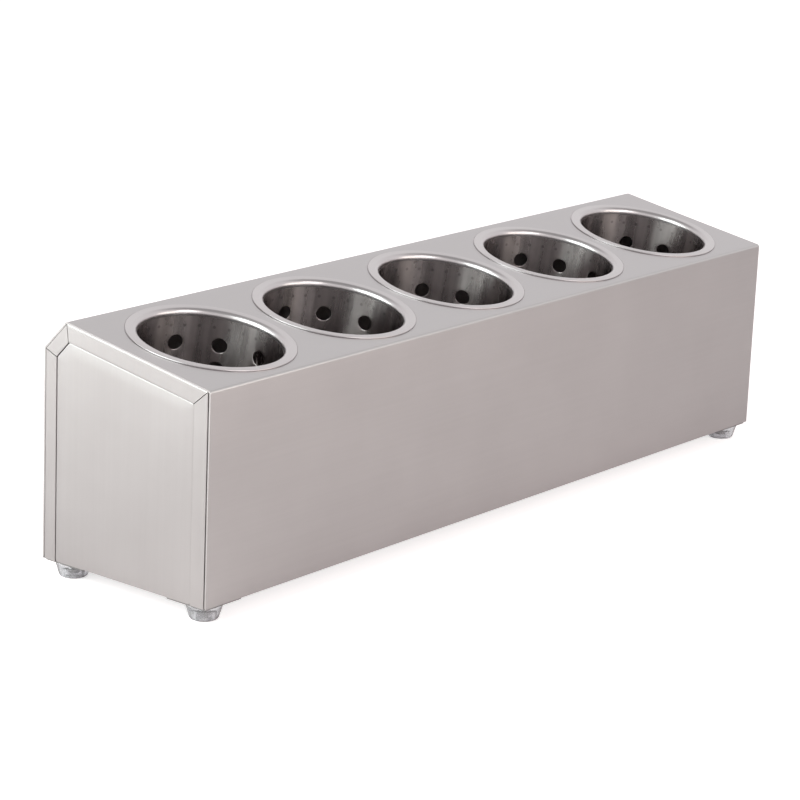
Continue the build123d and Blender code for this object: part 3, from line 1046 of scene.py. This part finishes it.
def on_cup(cup, radius, angle, height):
    """Middle of the mouth + radius * (cos, sin of the turned angle) + height * axis."""
    middle = np.array([mouths_x[cup], MIDDLE_Y, MIDDLE_Z])
    turned = (angle + CUP_TURNS[cup])[:, None]
    spoke = np.cos(turned) * LENGTH_AXIS + np.sin(turned) * UP_SLOPE
    return middle + radius[:, None] * spoke + height[:, None] * CUP_AXIS


def five_pieces(kind, part, blanks, place, material):
    """One piece for each cylinder. place turns the blank into radius, angle, height."""
    for cup, blank in enumerate(blanks):
        sheet = fold([(blank, lambda flat, depth: on_cup(cup, *place(flat, depth)))], CUP_SHEET)
        name = f"cylinder_{cup + 1}"
        new_piece(f"{kind}_{cup + 1}", sheet, material, name, f"{name}_{part}")


# %% Rim rings
LIP_RADIUS = 3.6 * MM
RIM_EDGE = 0.6 * MM  # rounding of the flange's cut edge

rim_marks, rim_at = bent_path(
    [(RIM_RADIUS, CUP_SHEET), (CUP_RADIUS, CUP_SHEET), (CUP_RADIUS, -THROAT)], LIP_RADIUS
)


def edge_rounding(distance, roll):
    """How far a skin has sunk at a distance from a rounded edge: a quarter circle."""
    into = np.clip(roll - distance, 0, roll)
    return roll - np.sqrt(roll**2 - into**2)


def on_rim(flat, depth):
    """The blank is an angle, and a length along the bent section from the edge."""
    radius, height = beside(rim_at, flat[:, 1], depth).T
    return radius, flat[:, 0], height


edge_lines = RIM_EDGE * (1 - np.cos(np.radians([0, 30, 60])))
rim_lines = np.concatenate([edge_lines, lines_along(rim_marks, [6, 12, 2])[1:]])
rim_blank, rim_quads = grid_patch(np.linspace(0, math.tau, 145), np.sort(rim_lines))
rim_blank[:, 2] = edge_rounding(rim_blank[:, 1], RIM_EDGE)
rim_blanks = [(rim_blank, rim_quads)] * CUP_COUNT
five_pieces("rim_ring", "rim", rim_blanks, on_rim, rim_steel)

# %% Perforated sleeves
HOLE_RADIUS = 5.2 * MM
HOLES_AROUND = 10
ROW_PITCH = 17 * MM
ROW_COUNT = 6
UPPER_MARGIN = 19 * MM
HOLE_ROLL = 0.7 * MM  # width of the rolled edge
HOLE_DEPTH = 0.35 * MM  # how far each skin rounds in there
CELL_STEPS = 8
SLEEVE_TOP = -THROAT
SLEEVE_BOTTOM = -CUP_HEIGHT + BASE_HEIGHT
SLEEVE_LENGTH = SLEEVE_TOP - SLEEVE_BOTTOM

cell_width = math.tau / HOLES_AROUND * CUP_RADIUS
cell_across = np.linspace(-cell_width / 2, cell_width / 2, CELL_STEPS + 1)
cell_up = np.linspace(-ROW_PITCH / 2, ROW_PITCH / 2, CELL_STEPS + 1)
punched_cell = hole_cell(
    cell_border(cell_across, cell_up), np.zeros(2), HOLE_RADIUS, HOLE_ROLL, HOLE_DEPTH
)


def sleeve_blank(margin):
    """The punched strip: rows of cells, and plain bands above and below them."""
    heights = SLEEVE_TOP - margin - ROW_PITCH * np.arange(ROW_COUNT)
    u, v = np.meshgrid(cell_width * np.arange(HOLES_AROUND), heights)
    cells = repeat_patch(punched_cell, np.column_stack([u.ravel(), v.ravel()]))
    across = np.linspace(-0.5, HOLES_AROUND - 0.5, HOLES_AROUND * CELL_STEPS + 1) * cell_width
    above = grid_patch(across, np.linspace(heights[0] + ROW_PITCH / 2, SLEEVE_TOP, 4))
    below = grid_patch(across, np.linspace(SLEEVE_BOTTOM, heights[-1] - ROW_PITCH / 2, 4))
    return join_patches([cells, above, below])


def on_sleeve(flat, depth):
    """Roll the strip up: its length becomes an angle, its width stays a height."""
    return CUP_OUTSIDE - depth, flat[:, 0] / CUP_RADIUS, flat[:, 1]


lower_margin = SLEEVE_LENGTH - UPPER_MARGIN - (ROW_COUNT - 1) * ROW_PITCH
blanks = [sleeve_blank(lower_margin if turned else UPPER_MARGIN) for turned in CUP_REVERSED]
five_pieces("punched_sleeve", "sleeve", blanks, on_sleeve, sleeve_steel)

# %% Blank of a base
BASE_CORNER = 5 * MM
DRAIN_RING = 28 * MM  # radius of the ring of drain holes
DRAIN_COUNT = 6
CORE_RADIUS = 17 * MM  # of the middle hole's cell
CELL_OUTER = 39 * MM  # outer radius of the sector cells
BASE_STEPS = 8

base_marks, base_at = bent_path(
    [(0, -CUP_HEIGHT), (CUP_OUTSIDE, -CUP_HEIGHT), (CUP_OUTSIDE, SLEEVE_BOTTOM)], BASE_CORNER
)


def polar(radius, angle):
    """Points of the flat disc from radii and angles."""
    return np.stack([radius * np.cos(angle), radius * np.sin(angle)], axis=-1)


def base_blank():
    """The disc: a middle hole, six sector cells with a hole each, and plain rings."""
    half = math.pi / DRAIN_COUNT
    sector = cell_border(
        np.linspace(CORE_RADIUS, CELL_OUTER, BASE_STEPS + 1),
        np.linspace(-half, half, BASE_STEPS + 1),
    )
    patches = []
    for turn in 2 * half * np.arange(DRAIN_COUNT):
        border = polar(sector[:, 0], sector[:, 1] + turn)
        centre = polar(DRAIN_RING, turn)
        patches.append(hole_cell(border, centre, HOLE_RADIUS, HOLE_ROLL, HOLE_DEPTH, turn=turn))
    around = np.linspace(-half, math.tau - half, DRAIN_COUNT * BASE_STEPS + 1)
    core = polar(np.full(len(around), CORE_RADIUS), around)
    patches.append(hole_cell(
        core, np.zeros(2), HOLE_RADIUS, HOLE_ROLL, HOLE_DEPTH, turn=-LOWER_LEFT - half
    ))
    rings = lines_along(np.array([CELL_OUTER, *base_marks[1:]]), [2, 8, 1])[::-1]
    radius, angle = np.meshgrid(rings, around, indexing="ij")
    patches.append(flat_patch(polar(radius, angle)))
    points, quads = join_patches(patches)
    return points, quads[:, ::-1]


discs = [base_blank()] * CUP_COUNT
print("a disc has", len(discs[0][1]), "squares")


# %% Dish the bases
def on_base(flat, depth):
    """Dish the disc: the distance from its middle runs along the bent section."""
    radius, height = beside(base_at, np.hypot(*flat.T), depth).T
    return radius, np.arctan2(flat[:, 1], flat[:, 0]), height


five_pieces("dished_base", "base", discs, on_base, base_steel)

# %% [markdown]
# ## Feet
#
# The feet are tapered grey vinyl, moulded round a recess for the screw. Light
# passes into them, so they get some transmission and stay rough inside.

# %% Grey vinyl
vinyl, vinyl_tree, vinyl_shader = new_material(
    "grey_vinyl", Metallic=0.0, Transmission_Weight=0.75, IOR=1.45
)
vinyl_at = add_node(vinyl_tree, "ShaderNodeTexCoord").outputs["Object"]
vinyl_cloud = noise(vinyl_tree, vinyl_at, 120.0, 3.0)
dress(
    vinyl_tree, vinyl_shader,
    mix_colours(vinyl_tree, vinyl_cloud, (0.73, 0.72, 0.75, 1), (0.90, 0.89, 0.91, 1)),
    between(vinyl_tree, vinyl_cloud, 0.14, 0.26),
    noise(vinyl_tree, vinyl_at, 900.0), 0.05 * MM,
)
print("material of the feet:", vinyl.name)

# %% Feet
CORNERS = ("front_left", "front_right", "back_left", "back_right")
FOOT_INSET = 14.5 * MM  # from the end and from the front or back
FOOT_STEPS = [1, 2, 2, 3, 3, 3, 2, 6, 8, 6, 3, 3, 1]

# Radius and height: down the screw hole and the recess, out, and up the taper
foot_marks, foot_at = bent_path(
    MM * np.array([
        (2.3, 8.8), (2.3, 6.8), (5.6, 6.8), (5.6, 0),
        (9.4, 0), (12.7, 10.8), (2.3, 10.8), (2.3, 8.8),
    ]),
    MM * np.array([0.2, 0.4, 0.5, 2.2, 0.6, 0.3]),
)
foot_profile = foot_at(lines_along(foot_marks, FOOT_STEPS))[0]

around = np.linspace(0, math.tau, 65)
radius = foot_profile[:, :1]
height = np.broadcast_to(foot_profile[:, 1:], (len(foot_profile), len(around)))
for corner in CORNERS:
    x = (END_X - FOOT_INSET) * (1 if corner.endswith("right") else -1)
    y = (BACK_Y - FOOT_INSET) * (1 if corner.startswith("back") else -1)
    points = [x + radius * np.cos(around), y + radius * np.sin(around), height]
    points = np.stack(points, axis=2).reshape(-1, 3)
    kept, quads = weld(points, grid_quads(*height.shape))
    solid = points[kept], quads, None, np.zeros(len(quads))
    new_piece(f"vinyl_foot_{corner}", solid, vinyl, "housing", f"foot_{corner}")

# %% [markdown]
# ## Plates and fasteners
#
# The corner plates, screws, washers and nuts keep their CAD shapes. They only
# need a finish: steel much darker and duller than the sheet, with a fine, even grain.

# %% Plates and fasteners
# Its tone is much darker than the sheet's, which also darkens the plates' edges under the
# housing.
fastener_steel = steel(
    "darker_dull_steel", (0.30, 0.29, 0.285), (400, 400, 400), (2500, 2500, 2500), (0.45, 0.6),
    0.02 * MM,
)
for name in ("foot_screws", "foot_washers", "foot_nuts", *(f"foot_plate_{c}" for c in CORNERS)):
    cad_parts[name].data.materials.clear()
    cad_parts[name].data.materials.append(fastener_steel)
print("CAD nodes that stay:", sorted(n for n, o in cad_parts.items() if not o.hide_render))
